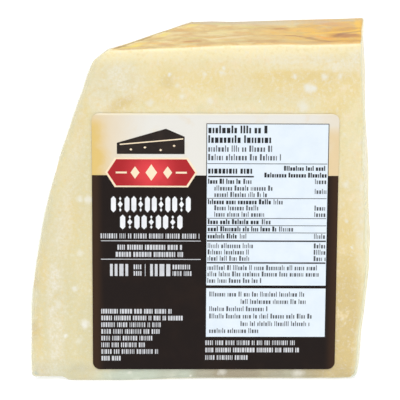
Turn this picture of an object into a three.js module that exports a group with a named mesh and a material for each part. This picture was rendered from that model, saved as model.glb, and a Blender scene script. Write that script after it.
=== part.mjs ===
// A cut piece of hard aged cheese, vacuum sealed in clear shrink film, with a printed label on
// its front. It stands on its lower cut face with the strip of rind on top. Millimetres, +Z up,
// front towards -Y. The origin is under the middle of the piece, on the surface it stands on.

import * as THREE from "three";
import { mergeVertices } from "three/addons/utils/BufferGeometryUtils.js";

// The sealed piece, measured on its front cut face with z up from the foot
const HEIGHT = 122.2; // foot to rind, along the right side
const LEFT_FOOT = -59.9; // the left side, where it stands upright
const RIGHT_BULGE = 58.3; // the right side at its widest
const DEPTH_AT_RIND = 39.5;
const DEPTH_AT_FOOT = 33;
const RIND_SLOPE = 0.0295; // the rind rises towards the right by this much per millimetre

// Left side: upright at the foot, then leaning in along a growing curve
const LEFT_UPRIGHT = 21;
const LEFT_LEAN = 24.4;
const LEFT_LEAN_POWER = 1.73;
const LEFT_SLANT = 33; // how far the left cut runs in, from the front face to the back face

// Right side: widest a third of the way up, and drawn in above and below
const BULGE_HEIGHT = 46;
const BULGE_DROP_UP = 3.3;
const BULGE_DROP_DOWN = 2.9;
const BULGE_POWER = 1.15;
const RIGHT_FLARE = 2.6; // how much wider the back face is at the right

// Edges under tight film, as radii: crisp on the slanting left side and round the rind
const RIGHT_EDGE = 2.8;
const LEFT_EDGE = 1.3;
const RIND_EDGE = 1.2;
const EDGE_CHANGE = { from: 0.1, to: 0.9 }; // as a share of the width, from left to right
const RIND_EDGE_CHANGE = { from: 0.6, to: 1 }; // as a share of the height

// The corner trimmed off beside the rind
const TRIM_POINT = new THREE.Vector3(-30.2, 0, 119.7);
const TRIM_NORMAL = new THREE.Vector3(-0.563, 0, 0.826).normalize();

// The foot's left end, which the film pulls up
const LIFT = 0.8;
const LIFT_ACROSS = { from: -49, to: -46 };
const LIFT_FADES_AT = 12;

// Relief: soft unevenness of the cut faces that comes in above the flat foot, and the streaks
// along the rind
const RELIEF_RISES = { from: 2, to: 10 };
const CUT_RELIEF = 0.3;
const CUT_WAVE = 26;
const RIND_RELIEF = 0.45;
const STREAK_SPACING = 9;
const STREAK_STRETCH = 6; // how much longer a streak is than the space between two
const STREAK_SKEW = 0.05;

// The label, and the margin round it over which the relief comes back
const LABEL_WIDTH = 84.6;
const LABEL_HEIGHT = 92.3;
const LABEL_THICK = 0.3;
const LABEL_GAP = 0.3;
const LABEL_CORNER = 2.6;
const LABEL_CENTRE = new THREE.Vector2(5.15, 50.9);
const LABEL_TURN = THREE.MathUtils.degToRad(0.2);
const LABEL_MARGIN = { flat: 1, uneven: 5 };

// Mesh density: segments along x, y and z, those round half an edge, and the weld distance
const SEGMENTS = { x: 30, y: 14, z: 34 };
const EDGE_SEGMENTS = 3;
const LABEL_CORNER_SEGMENTS = 6;
const WELD = 1e-3;

const { clamp, lerp, smoothstep } = THREE.MathUtils;

// Where the left side of the front face lies at height z.
function leftSide(z) {
  const climb = Math.max(0, z - LEFT_UPRIGHT) / (HEIGHT - LEFT_UPRIGHT);
  return LEFT_FOOT + LEFT_LEAN * climb ** LEFT_LEAN_POWER;
}

// Where the right side of the front face lies at height z.
function rightSide(z) {
  const above = Math.max(0, z - BULGE_HEIGHT) / (HEIGHT - BULGE_HEIGHT);
  const below = Math.max(0, BULGE_HEIGHT - z) / BULGE_HEIGHT;
  return RIGHT_BULGE - BULGE_DROP_UP * above ** BULGE_POWER - BULGE_DROP_DOWN * below ** BULGE_POWER;
}

// A soft, repeatable unevenness between -1 and 1: two trains of waves, each bent by the other.
function uneven(u, v, wave) {
  const k = (2 * Math.PI) / wave;
  const broad = Math.sin(k * u + 1.3 * Math.sin(0.61 * k * v + 0.4));
  const cross = Math.sin(0.83 * k * v + 1.1 * Math.sin(0.47 * k * u + 2.1));
  return 0.5 * (broad + cross);
}

// 1 under the label, 0 away from it, so that the label lies on a flat face.
function underLabel(x, z) {
  const inFromSide = LABEL_WIDTH / 2 - Math.abs(x - LABEL_CENTRE.x);
  const inFromEnd = LABEL_HEIGHT / 2 - Math.abs(z - LABEL_CENTRE.y);
  return smoothstep(Math.min(inFromSide, inFromEnd), -LABEL_MARGIN.uneven, -LABEL_MARGIN.flat);
}

// The station of grid line i of n along a length: a few lines round each edge, the rest even.
function station(i, n, length) {
  const fromEnd = Math.min(i, n - i);
  if (fromEnd <= EDGE_SEGMENTS) {
    const turn = (Math.PI / 4) * (1 - fromEnd / EDGE_SEGMENTS);
    const reach = RIGHT_EDGE * (1 - Math.tan(turn));
    return i < n / 2 ? reach : length - reach;
  }
  const inner = (i - EDGE_SEGMENTS) / (n - 2 * EDGE_SEGMENTS);
  return RIGHT_EDGE + inner * (length - 2 * RIGHT_EDGE);
}

// A point of a plain block with rounded edges, and the way its surface faces there.
function roundedPoint(p, size) {
  const toRight = smoothstep(p.x / size.x, EDGE_CHANGE.from, EDGE_CHANGE.to);
  const toRind = smoothstep(p.z / size.z, RIND_EDGE_CHANGE.from, RIND_EDGE_CHANGE.to);
  const radius = lerp(lerp(LEFT_EDGE, RIGHT_EDGE, toRight), RIND_EDGE, toRind);
  const core = new THREE.Vector3(
    clamp(p.x, radius, size.x - radius),
    clamp(p.y, radius, size.y - radius),
    clamp(p.z, radius, size.z - radius),
  );
  const facing = p.clone().sub(core).normalize();
  return { point: core.addScaledVector(facing, radius), facing };
}

// Carries a point of the plain block onto the cut piece's own outline.
function cutPiece(point, size) {
  const across = point.x / size.x;
  const back = point.y / size.y;
  const up = point.z / size.z;
  const left = leftSide(point.z) + LEFT_SLANT * back;
  const right = rightSide(point.z) + RIGHT_FLARE * back;
  const x = lerp(left, right, across);
  const y = back * lerp(DEPTH_AT_FOOT, DEPTH_AT_RIND, up);
  const z = point.z + RIND_SLOPE * (x - rightSide(HEIGHT)) * up;
  return new THREE.Vector3(x, y, z);
}

// The relief at a point, along the way its surface faces.
function relief(p, facing) {
  const front = Math.max(0, -facing.y) * (1 - underLabel(p.x, p.z));
  const back = Math.max(0, facing.y);
  const onFaces = (front + back) * uneven(p.x, p.z, CUT_WAVE);
  const onSides = Math.abs(facing.x) * uneven(p.y, p.z, CUT_WAVE);
  const along = p.x / STREAK_STRETCH;
  const onRind = Math.max(0, facing.z) * uneven(along, p.y + STREAK_SKEW * p.x, STREAK_SPACING);
  const aboveFoot = smoothstep(p.z, RELIEF_RISES.from, RELIEF_RISES.to);
  return aboveFoot * (CUT_RELIEF * (onFaces + onSides) + RIND_RELIEF * onRind);
}

// Presses a point back onto the trimmed corner's face, if it lies outside it.
function trimCorner(p) {
  const outside = p.clone().sub(TRIM_POINT).dot(TRIM_NORMAL);
  if (outside > 0) p.addScaledVector(TRIM_NORMAL, -outside);
}

// How far the film pulls the foot up at a point.
function footLift(p) {
  const towardsEnd = 1 - smoothstep(p.x, LIFT_ACROSS.from, LIFT_ACROSS.to);
  return LIFT * towardsEnd * (1 - smoothstep(p.z, 0, LIFT_FADES_AT));
}

function sealedPiece() {
  const size = new THREE.Vector3(RIGHT_BULGE - LEFT_FOOT, DEPTH_AT_RIND, HEIGHT);
  const { x: nx, y: ny, z: nz } = SEGMENTS;
  const geometry = new THREE.BoxGeometry(1, 1, 1, nx, ny, nz);
  const position = geometry.getAttribute("position");
  for (let i = 0; i < position.count; i++) {
    const onBlock = new THREE.Vector3(
      station(Math.round((position.getX(i) + 0.5) * nx), nx, size.x),
      station(Math.round((position.getY(i) + 0.5) * ny), ny, size.y),
      station(Math.round((position.getZ(i) + 0.5) * nz), nz, size.z),
    );
    const { point, facing } = roundedPoint(onBlock, size);
    const p = cutPiece(point, size);
    p.addScaledVector(facing, relief(p, facing));
    trimCorner(p);
    p.z += footLift(p);
    position.setXYZ(i, p.x, p.y, p.z);
  }
  geometry.deleteAttribute("normal");
  geometry.deleteAttribute("uv");
  const closed = mergeVertices(geometry, WELD);
  closed.computeVertexNormals();
  return closed;
}

// A flat sheet with round corners, standing upright with its print towards -Y.
function labelSheet() {
  const w = LABEL_WIDTH / 2 - LABEL_CORNER;
  const h = LABEL_HEIGHT / 2 - LABEL_CORNER;
  const outline = new THREE.Shape();
  outline.absarc(w, h, LABEL_CORNER, 0, Math.PI / 2);
  outline.absarc(-w, h, LABEL_CORNER, Math.PI / 2, Math.PI);
  outline.absarc(-w, -h, LABEL_CORNER, Math.PI, 1.5 * Math.PI);
  outline.absarc(w, -h, LABEL_CORNER, 1.5 * Math.PI, 2 * Math.PI);
  const sheet = new THREE.ExtrudeGeometry(outline, {
    depth: LABEL_THICK,
    bevelEnabled: false,
    curveSegments: LABEL_CORNER_SEGMENTS,
  });
  return sheet.rotateX(Math.PI / 2);
}

const film = new THREE.MeshStandardMaterial({ color: 0xede2bd, roughness: 0.3, metalness: 0 });
const print = new THREE.MeshStandardMaterial({ color: 0x2f2a28, roughness: 0.45, metalness: 0 });

const piece = new THREE.Mesh(sealedPiece(), film);
piece.name = "sealed_cheese";

const label = new THREE.Mesh(labelSheet(), print);
label.name = "label";
label.position.set(LABEL_CENTRE.x, -LABEL_GAP, LABEL_CENTRE.y);
label.rotation.y = LABEL_TURN;

// The piece stands with its middle over the origin.
const pack = new THREE.Group();
pack.add(piece, label);
const whole = new THREE.Box3().setFromObject(pack, true);
const middle = whole.getCenter(new THREE.Vector3());
pack.position.set(-middle.x, -middle.y, -whole.min.z);

export default pack;
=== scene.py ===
"""The looks of a cut piece of hard aged cheese, sealed in clear shrink film, with a label.

Sizes are in millimetres in the piece's drawing frame: x runs to the right along the front cut
face, y back into the piece from that face, and z up from the foot. `Placing` carries points from
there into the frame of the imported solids, in metres.
"""

import logging
import math
import random
from dataclasses import dataclass, field
from enum import Enum
from typing import Iterator, Sequence

import bpy
import numpy as np
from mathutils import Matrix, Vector


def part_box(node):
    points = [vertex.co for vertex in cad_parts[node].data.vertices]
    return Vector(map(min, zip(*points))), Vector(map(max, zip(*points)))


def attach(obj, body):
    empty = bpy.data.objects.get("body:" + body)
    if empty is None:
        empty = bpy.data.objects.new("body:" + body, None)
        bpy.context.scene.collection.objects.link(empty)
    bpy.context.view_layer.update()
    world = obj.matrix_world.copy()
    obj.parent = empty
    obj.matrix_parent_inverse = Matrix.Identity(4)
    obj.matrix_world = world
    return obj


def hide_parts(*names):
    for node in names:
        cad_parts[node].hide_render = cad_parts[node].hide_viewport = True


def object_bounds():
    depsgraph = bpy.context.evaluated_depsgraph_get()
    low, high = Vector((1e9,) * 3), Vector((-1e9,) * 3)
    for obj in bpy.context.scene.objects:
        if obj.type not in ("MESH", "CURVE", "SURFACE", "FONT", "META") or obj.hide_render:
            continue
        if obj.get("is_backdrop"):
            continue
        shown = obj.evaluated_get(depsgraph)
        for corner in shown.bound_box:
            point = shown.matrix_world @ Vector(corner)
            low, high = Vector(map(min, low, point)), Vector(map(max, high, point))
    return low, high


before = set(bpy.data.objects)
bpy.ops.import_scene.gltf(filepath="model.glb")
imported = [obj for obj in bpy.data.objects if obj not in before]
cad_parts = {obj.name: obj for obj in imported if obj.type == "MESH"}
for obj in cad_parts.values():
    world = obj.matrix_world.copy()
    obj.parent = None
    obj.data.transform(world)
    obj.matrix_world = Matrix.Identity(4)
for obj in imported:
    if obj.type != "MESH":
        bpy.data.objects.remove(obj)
cad_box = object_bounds()

MM = 0.001
BODY = "root"
LOG = logging.getLogger("cheese_piece")

Colour = tuple[float, float, float, float]
Point2 = tuple[float, float]
Box = tuple[float, float, float, float]


class Slot(Enum):
    """The finishes, by name."""

    PIECE = "sealed_cheese"
    LABEL = "label"


class Layer(Enum):
    """How far each printed layer of the label stands out from the film, in millimetres."""

    STUCK = 0.02
    SHEET = 0.10
    FIELD = 0.13
    PANEL = 0.16
    MARK = 0.19
    TOP = 0.22


def paint(red: int, green: int, blue: int) -> Colour:
    """A linear colour from the 0 to 255 values that a screen shows.

    Args:
        red: the screen's red.
        green: the screen's green.
        blue: the screen's blue.

    Returns:
        The linear colour with full alpha.
    """
    shares = [channel / 255 for channel in (red, green, blue)]
    linear = [s / 12.92 if s <= 0.04045 else ((s + 0.055) / 1.055) ** 2.4 for s in shares]
    return (linear[0], linear[1], linear[2], 1.0)


def blend(first: np.ndarray | float, second: np.ndarray | float, share: np.ndarray) -> np.ndarray:
    """A value that goes from the first to the second as the share goes from 0 to 1."""
    return first + (second - first) * share


@dataclass(frozen=True)
class Span:
    """A stretch of a value over which something comes in smoothly."""

    start: float
    end: float

    def share(self, value: np.ndarray | float) -> np.ndarray:
        """How far each value is along the stretch, eased, from 0 to 1."""
        t = np.clip((value - self.start) / (self.end - self.start), 0.0, 1.0)
        return t * t * (3.0 - 2.0 * t)


def overlap(spans: Sequence[Span], value: np.ndarray | float) -> np.ndarray:
    """How far each value is along several stretches at once, from 0 to 1."""
    return math.prod(span.share(value) for span in spans)


@dataclass(frozen=True)
class Placing:
    """Where the drawing frame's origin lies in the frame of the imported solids."""

    origin: tuple[float, float, float]

    @classmethod
    def of_label(cls, centre: Point2, front: float) -> "Placing":
        """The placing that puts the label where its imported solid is.

        Args:
            centre: the label's centre in the drawing frame, as x and z.
            front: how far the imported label's front is out from the cut face.

        Returns:
            The placing.
        """
        low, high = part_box("label")
        middle = (low + high) / 2 / MM
        return cls((middle.x - centre[0], low.y / MM + front, middle.z - centre[1]))

    def metres(self, points: np.ndarray) -> np.ndarray:
        """Drawing points as row points in metres."""
        return (points + np.array(self.origin)) * MM


def add_piece(name: str, points: np.ndarray, faces: Sequence[Sequence[int]], placing: Placing,
              slot: Slot, smooth: bool) -> bpy.types.Object:
    """Makes one piece from points in the drawing frame and hands it to the body.

    Args:
        name: the piece's name.
        points: its points, in millimetres.
        faces: the point numbers round each face.
        placing: where the drawing frame lies.
        slot: the finish that it would take; not used.
        smooth: whether its faces shade into each other.

    Returns:
        The new object.
    """
    mesh = bpy.data.meshes.new(name)
    mesh.from_pydata(placing.metres(points).tolist(), [], [list(map(int, face)) for face in faces])
    mesh.validate()
    if smooth:
        mesh.shade_smooth()
    piece = bpy.data.objects.new(name, mesh)
    bpy.context.scene.collection.objects.link(piece)
    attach(piece, BODY)
    LOG.info("%s: %d points, %d faces", name, len(mesh.vertices), len(mesh.polygons))
    return piece


def carry(piece: bpy.types.Object, name: str, values: np.ndarray) -> None:
    """Gives a piece's mesh a number at each point, for its material to read."""
    mask = piece.data.attributes.new(name, "FLOAT", "POINT")
    mask.data.foreach_set("value", values.astype(np.float32))


class Recipe:
    """The node tree of one material, with short calls for the nodes that the finishes share."""

    def __init__(self, name: str) -> None:
        """Starts a material of that name with a plain shader."""
        self.material = bpy.data.materials.new(name)
        self.material.use_nodes = True
        self.tree = self.material.node_tree
        self.shader = self.tree.nodes["Principled BSDF"]
        self.place = self.tree.nodes.new("ShaderNodeTexCoord").outputs["Object"]

    def node(self, kind: str, inputs: dict | None = None, **settings: object) -> bpy.types.Node:
        """Adds a node.

        Args:
            kind: Blender's name for the kind of node.
            inputs: a value or another node's output for each input, by name or number.
            **settings: the node's own settings.

        Returns:
            The node.
        """
        made = self.tree.nodes.new(kind)
        for name, value in settings.items():
            setattr(made, name, value)
        for key, value in (inputs or {}).items():
            self.feed(made.inputs[key], value)
        return made

    def feed(self, socket: bpy.types.NodeSocket, value: object) -> None:
        """Links an output to an input, or sets the input to a plain value."""
        if isinstance(value, bpy.types.NodeSocket):
            self.tree.links.new(value, socket)
        else:
            socket.default_value = value

    def set(self, **values: object) -> None:
        """Sets the shader's inputs, named with underscores for spaces."""
        for name, value in values.items():
            self.feed(self.shader.inputs[name.replace("_", " ")], value)

    def maths(self, operation: str, first: object, second: object) -> bpy.types.NodeSocket:
        """The result of one piece of arithmetic on two numbers."""
        return self.node("ShaderNodeMath", {0: first, 1: second}, operation=operation).outputs[0]

    def times(self, first: object, second: object) -> bpy.types.NodeSocket:
        """The product of two numbers."""
        return self.maths("MULTIPLY", first, second)

    def vector(self, operation: str, first: object, second: object) -> bpy.types.NodeSocket:
        """The result of one piece of arithmetic on two places: a place, or a plain number."""
        made = self.node("ShaderNodeVectorMath", {0: first, 1: second}, operation=operation)
        return made.outputs["Value" if operation in ("DISTANCE", "DOT_PRODUCT") else "Vector"]

    def stretched(self, sizes: Sequence[float], turn: Sequence[float] = (0, 0, 0)) -> object:
        """The place on the piece, counted in steps of the given sizes.

        Args:
            sizes: the step along x, y and z, in millimetres.
            turn: how far the axes are turned first, in degrees.

        Returns:
            The output that holds the scaled place.
        """
        angles = [math.radians(angle) for angle in turn]
        turned = self.node("ShaderNodeMapping", {0: self.place, "Rotation": angles})
        steps = [1 / (size * MM) for size in sizes]
        return self.vector("MULTIPLY", turned.outputs[0], steps)

    def noise(self, size: float, detail: float = 2.0, rough: float = 0.5,
              warp: float = 0.0, place: object = None) -> bpy.types.NodeSocket:
        """Soft noise between 0 and 1.

        Args:
            size: the size of its blotches, in millimetres, or in steps of a given place.
            detail: how many finer layers lie on it.
            rough: how strong those layers are.
            warp: how far it is distorted.
            place: a place other than the point on the piece.

        Returns:
            The output that holds the noise.
        """
        scale = 1 / size if place else 1 / (size * MM)
        inputs = {"Vector": place or self.place, "Scale": scale, "Detail": detail,
                  "Roughness": rough, "Distortion": warp}
        return self.node("ShaderNodeTexNoise", inputs).outputs["Fac"]

    def scatter(self, place: object, size: float) -> bpy.types.NodeSocket:
        """How far each place is from the nearest scattered point, as a share of the size."""
        inputs = {"Vector": place, "Scale": 1 / (size * MM)}
        return self.node("ShaderNodeTexVoronoi", inputs).outputs["Distance"]

    def ramp(self, value: object, start: float, end: float, top: float = 1.0) -> object:
        """Goes smoothly from 0 at the start to the top at the end."""
        inputs = {"Value": value, "From Min": start, "From Max": end, "To Max": top}
        return self.node("ShaderNodeMapRange", inputs, interpolation_type="SMOOTHSTEP").outputs[0]

    def mix(self, share: object, first: object, second: object) -> bpy.types.NodeSocket:
        """The first colour where the share is 0, the second where it is 1."""
        made = self.node("ShaderNodeMix", data_type="RGBA", clamp_factor=True)
        self.feed(made.inputs[0], share)
        self.feed(made.inputs[6], first)
        self.feed(made.inputs[7], second)
        return made.outputs[2]

    def mask(self, name: str) -> bpy.types.NodeSocket:
        """A number that the mesh carries at its points."""
        return self.node("ShaderNodeAttribute", attribute_name=name).outputs["Fac"]

    def axis(self, index: int) -> bpy.types.NodeSocket:
        """One coordinate of the place on the piece, in metres."""
        return self.node("ShaderNodeSeparateXYZ", {0: self.place}).outputs[index]

    def bump(self, height: object, depth: float, strength: float = 1.0) -> bpy.types.NodeSocket:
        """A normal bent by a height, with the depth of its full range in millimetres."""
        inputs = {"Height": height, "Distance": depth * MM, "Strength": strength}
        return self.node("ShaderNodeBump", inputs).outputs[0]

    def tooth(self) -> bpy.types.NodeSocket:
        """The normal of a printed label, bent by its fine tooth."""
        return self.bump(self.noise(0.35, detail=2), 0.02, 0.5)


@dataclass(frozen=True)
class Skin:
    """A gridded surface: its points, the way the plain block faces there, and its quads."""

    points: np.ndarray
    facing: np.ndarray
    quads: np.ndarray


@dataclass(frozen=True)
class PieceShape:
    """The outline of the cut piece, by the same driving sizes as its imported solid."""

    # The front face's outline, the depth and the slants
    height: float = 122.2
    left_foot: float = -59.9
    right_bulge: float = 58.3
    depth_at_rind: float = 39.5
    depth_at_foot: float = 33.0
    rind_slope: float = 0.0295
    left_upright: float = 21.0
    left_lean: float = 24.4
    left_lean_power: float = 1.73
    left_slant: float = 33.0
    bulge_height: float = 46.0
    bulge_drop_up: float = 3.3
    bulge_drop_down: float = 2.9
    bulge_power: float = 1.15
    right_flare: float = 2.75
    rind_flare: float = 0.35
    # Small adjustments of the two sides, each with where it acts
    left_spread: float = 0.3
    left_spread_up: Span = Span(45.0, 20.0)
    left_tuck: float = 0.45
    left_tuck_up: tuple[Span, Span] = (Span(82.0, 96.0), Span(113.0, 107.0))
    right_fill: float = 0.25
    right_fill_up: tuple[Span, Span] = (Span(16.0, 26.0), Span(82.0, 66.0))
    right_belly: float = 0.35
    right_belly_up: tuple[Span, Span] = (Span(15.0, 26.0), Span(50.0, 40.0))
    # Radii of the edges, and where one changes into another
    right_edge: float = 2.8
    left_edge: float = 1.3
    rind_edge: float = 1.2
    foot_edge: float = 0.7
    foot_edge_left: float = 1.7
    foot_edge_right: float = 3.2
    foot_left_end: Span = Span(-45.5, -48.0)
    foot_right_end: Span = Span(-30.0, 4.0)
    foot_edge_change: Span = Span(1.0, 5.0)
    edge_change: Span = Span(0.1, 0.9)
    rind_edge_change: Span = Span(0.6, 1.0)
    # The corner trimmed off beside the rind, and the pulled-up end of the foot
    trim_point: tuple[float, float, float] = (-30.2, 0.0, 119.7)
    trim_normal: tuple[float, float, float] = (-0.5632, 0.0, 0.8263)
    lift: float = 0.8
    lift_across: Span = Span(-49.0, -46.0)
    lift_fades: Span = Span(0.0, 12.0)
    # Relief of the cut faces and of the rind
    relief_rises: Span = Span(2.0, 10.0)
    cut_relief: float = 0.3
    cut_wave: float = 26.0
    rind_relief: float = 0.45
    streak_spacing: float = 9.0
    streak_stretch: float = 6.0
    streak_skew: float = 0.05
    streak_margin: Span = Span(0.0, 9.0)
    # The label, and the margin round it
    label_size: Point2 = (84.6, 92.3)
    label_centre: Point2 = (5.15, 50.9)
    label_front: float = 0.6
    label_margin: Span = Span(-5.0, -1.0)
    # Bends of the rind, and the swelling just above the foot
    rind_droop: float = 0.75
    droop_across: Span = Span(0.3, 0.0)
    droop_back: tuple[Span, Span] = (Span(0.5, 4.0), Span(28.0, 8.0))
    rind_rise: float = 0.4
    rise_across: Span = Span(0.26, 0.1)
    rise_back: Span = Span(26.0, 39.0)
    rind_bend_comes_in: Span = Span(0.93, 1.0)
    brow: float = 0.3
    brow_across: tuple[Span, Span] = (Span(-12.0, 6.0), Span(38.0, 24.0))
    sag: float = 0.25
    sag_across: Span = Span(28.0, 38.0)
    brow_back: Span = Span(14.0, 2.0)
    foot_swell: float = 0.9
    swell_at_right: float = 0.75
    swell_goes_down: Span = Span(-24.0, -4.0)
    swell_ends: tuple[Span, Span] = (Span(-49.0, -44.0), Span(56.0, 46.0))
    swell_up: Span = Span(4.0, 0.8)

    @property
    def size(self) -> np.ndarray:
        """The plain block that the piece is carried from."""
        return np.array([self.right_bulge - self.left_foot, self.depth_at_rind, self.height])

    def left_side(self, z: np.ndarray) -> np.ndarray:
        """Where the left side of the front face lies at each height."""
        climb = np.maximum(0.0, z - self.left_upright) / (self.height - self.left_upright)
        spread = self.left_spread * self.left_spread_up.share(z)
        tuck = self.left_tuck * overlap(self.left_tuck_up, z)
        return self.left_foot + self.left_lean * climb ** self.left_lean_power - spread + tuck

    def right_side(self, z: np.ndarray | float) -> np.ndarray:
        """Where the right side of the front face lies at each height."""
        above = np.maximum(0.0, z - self.bulge_height) / (self.height - self.bulge_height)
        below = np.maximum(0.0, self.bulge_height - z) / self.bulge_height
        drop = self.bulge_drop_up * above ** self.bulge_power
        drop += self.bulge_drop_down * below ** self.bulge_power
        fill = self.right_fill * overlap(self.right_fill_up, z)
        belly = self.right_belly * overlap(self.right_belly_up, z)
        return self.right_bulge - drop + fill + belly

    @staticmethod
    def uneven(u: np.ndarray, v: np.ndarray, wave: float) -> np.ndarray:
        """Soft unevenness between -1 and 1: two trains of waves, each bent by the other."""
        k = 2 * math.pi / wave
        broad = np.sin(k * u + 1.3 * np.sin(0.61 * k * v + 0.4))
        cross = np.sin(0.83 * k * v + 1.1 * np.sin(0.47 * k * u + 2.1))
        return 0.5 * (broad + cross)

    def in_from_label_edge(self, x: np.ndarray, z: np.ndarray) -> np.ndarray:
        """How far each place is inside the label's edge, or outside it where negative."""
        from_side = self.label_size[0] / 2 - np.abs(x - self.label_centre[0])
        from_end = self.label_size[1] / 2 - np.abs(z - self.label_centre[1])
        return np.minimum(from_side, from_end)

    def stations(self, count: int, length: float, edge_steps: int) -> np.ndarray:
        """The places of the grid lines along a length, closer together round the edges.

        Args:
            count: how many cells the length has.
            length: the length.
            edge_steps: how many cells lie round half an edge.

        Returns:
            The places, from 0 to the length.
        """
        i = np.arange(count + 1)
        from_end = np.minimum(i, count - i)
        turn = (math.pi / 4) * (1 - from_end / edge_steps)
        reach = self.right_edge * (1 - np.tan(turn))
        inner = (i - edge_steps) / (count - 2 * edge_steps)
        even = self.right_edge + inner * (length - 2 * self.right_edge)
        return np.where(from_end <= edge_steps, np.where(i < count / 2, reach, length - reach), even)

    def rounded(self, block: np.ndarray, wider: float) -> tuple[np.ndarray, np.ndarray]:
        """Rounds the edges of the plain block.

        Args:
            block: points on the plain block.
            wider: how much is added to each edge's radius above the foot.

        Returns:
            The rounded points, and the way the surface faces at each.
        """
        share = block / self.size
        to_right = self.edge_change.share(share[:, 0])
        to_rind = self.rind_edge_change.share(share[:, 2])
        below = blend(self.left_edge, self.right_edge, to_right)
        above_foot = self.foot_edge_change.share(block[:, 2])
        radius = blend(below, self.rind_edge, to_rind) + wider
        x = block[:, 0] + self.left_foot
        foot = blend(self.foot_edge, self.foot_edge_left, self.foot_left_end.share(x))
        foot = blend(foot, self.foot_edge_right, self.foot_right_end.share(x))
        radius = blend(foot, radius, above_foot)[:, None]
        core = np.clip(block, radius, self.size - radius)
        facing = block - core
        facing /= np.linalg.norm(facing, axis=1, keepdims=True)
        return core + facing * radius, facing

    def carried(self, block: np.ndarray) -> np.ndarray:
        """Carries points of the plain block onto the cut piece's own outline."""
        across, back, up = (block / self.size).T
        left = self.left_side(block[:, 2]) + self.left_slant * back
        near_rind = self.rind_bend_comes_in.share(up)
        flare = self.right_flare + self.rind_flare * near_rind
        right = self.right_side(block[:, 2]) + flare * back
        x = blend(left, right, across)
        y = back * blend(self.depth_at_foot, self.depth_at_rind, up)
        swell = blend(1.0, self.swell_at_right, self.swell_goes_down.share(x))
        swell *= overlap(self.swell_ends, x)
        y -= self.foot_swell * swell * self.swell_up.share(block[:, 2]) * (1 - back)
        z = block[:, 2] + self.rind_slope * (x - self.right_side(self.height)) * up
        droop = self.droop_across.share(across) * overlap(self.droop_back, y)
        rise = self.rise_across.share(across) * self.rise_back.share(y)
        front = self.brow * overlap(self.brow_across, x)
        front -= self.sag * self.sag_across.share(x)
        bend = self.rind_rise * rise - self.rind_droop * droop + front * self.brow_back.share(y)
        z += near_rind * bend
        return np.column_stack([x, y, z])

    def relief(self, points: np.ndarray, facing: np.ndarray, block: np.ndarray) -> np.ndarray:
        """The relief of the cut faces and the rind.

        Args:
            points: the points on the cut piece's outline.
            facing: the way the surface faces at each.
            block: the same points on the plain block.

        Returns:
            How far each point stands out.
        """
        x, y, z = points.T
        front = np.maximum(0, -facing[:, 1])
        front *= 1 - self.label_margin.share(self.in_from_label_edge(x, z))
        on_faces = (front + np.maximum(0, facing[:, 1])) * self.uneven(x, z, self.cut_wave)
        on_sides = np.abs(facing[:, 0]) * self.uneven(y, z, self.cut_wave)
        streaks = self.uneven(x / self.streak_stretch, y + self.streak_skew * x,
                              self.streak_spacing)
        in_from_edge = np.minimum(block, self.size - block)[:, :2].min(axis=1)
        on_rind = np.maximum(0, facing[:, 2]) * streaks * self.streak_margin.share(in_from_edge)
        cut = self.cut_relief * (on_faces + on_sides)
        return self.relief_rises.share(z) * (cut + self.rind_relief * on_rind)

    def outside_trim(self, points: np.ndarray) -> np.ndarray:
        """How far each point lies outside the trimmed corner's face."""
        return (points - np.array(self.trim_point)) @ np.array(self.trim_normal)

    def skin(self, cells: tuple[int, int, int], edge_steps: int, inset: float = 0.0,
             wider: float = 0.0) -> Skin:
        """The piece's surface as a grid.

        Args:
            cells: how many cells the grid has along x, y and z.
            edge_steps: how many cells lie round half an edge.
            inset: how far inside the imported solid's surface it lies.
            wider: how much is added to each edge's radius.

        Returns:
            The surface.
        """
        index, quads = block_grid(cells)
        lines = [self.stations(n, length, edge_steps) for n, length in zip(cells, self.size)]
        block = np.column_stack([lines[axis][index[:, axis]] for axis in range(3)])
        rounded, facing = self.rounded(block, wider)
        points = self.carried(rounded)
        points += facing * self.relief(points, facing, block)[:, None]
        outside = np.maximum(0.0, self.outside_trim(points))
        points -= outside[:, None] * np.array(self.trim_normal)
        towards_end = 1 - self.lift_across.share(points[:, 0])
        points[:, 2] += self.lift * towards_end * (1 - self.lift_fades.share(points[:, 2]))
        return Skin(points - inset * facing, facing, quads)


def block_grid(cells: tuple[int, int, int]) -> tuple[np.ndarray, np.ndarray]:
    """The skin of a block divided into a grid.

    Args:
        cells: how many cells the block has along x, y and z.

    Returns:
        The grid index of each skin point along the three axes, and the quads between the
        points, wound so that they face out.
    """
    patches = []
    for axis in range(3):
        across, up = (axis + 1) % 3, (axis + 2) % 3
        steps = np.meshgrid(np.arange(cells[across] + 1), np.arange(cells[up] + 1), indexing="ij")
        for end in (0, cells[axis]):
            at = np.zeros(steps[0].shape + (3,), int)
            at[..., axis] = end
            at[..., across] = steps[0]
            at[..., up] = steps[1]
            quads = np.stack([at[:-1, :-1], at[1:, :-1], at[1:, 1:], at[:-1, 1:]], axis=2)
            patches.append((quads if end else quads[:, :, ::-1]).reshape(-1, 4, 3))
    corners = np.concatenate(patches)
    index, where = np.unique(corners.reshape(-1, 3), axis=0, return_inverse=True)
    return index, where.reshape(-1, 4)


@dataclass(frozen=True)
class StainAndShade:
    """An oval patch on the front cut face, where the paste differs; the grey and shade lists use it
    for painted shade.
    """

    x: float
    z: float
    half_width: float
    half_height: float
    lean: float = 0.0
    strength: float = 1.0
    soft: Span = Span(1.25, 0.35)

    def on(self, points: np.ndarray) -> np.ndarray:
        """How strong the patch is at each point."""
        lean = math.radians(self.lean)
        dx, dz = points[:, 0] - self.x, points[:, 2] - self.z
        along = (dx * math.cos(lean) - dz * math.sin(lean)) / self.half_width
        up = (dx * math.sin(lean) + dz * math.cos(lean)) / self.half_height
        return self.strength * self.soft.share(np.hypot(along, up))


@dataclass(frozen=True)
class Crystal:
    """A pale speck in the paste, by its place on the front cut face and its radius."""

    x: float
    z: float
    radius: float
    strength: float = 0.8


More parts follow.
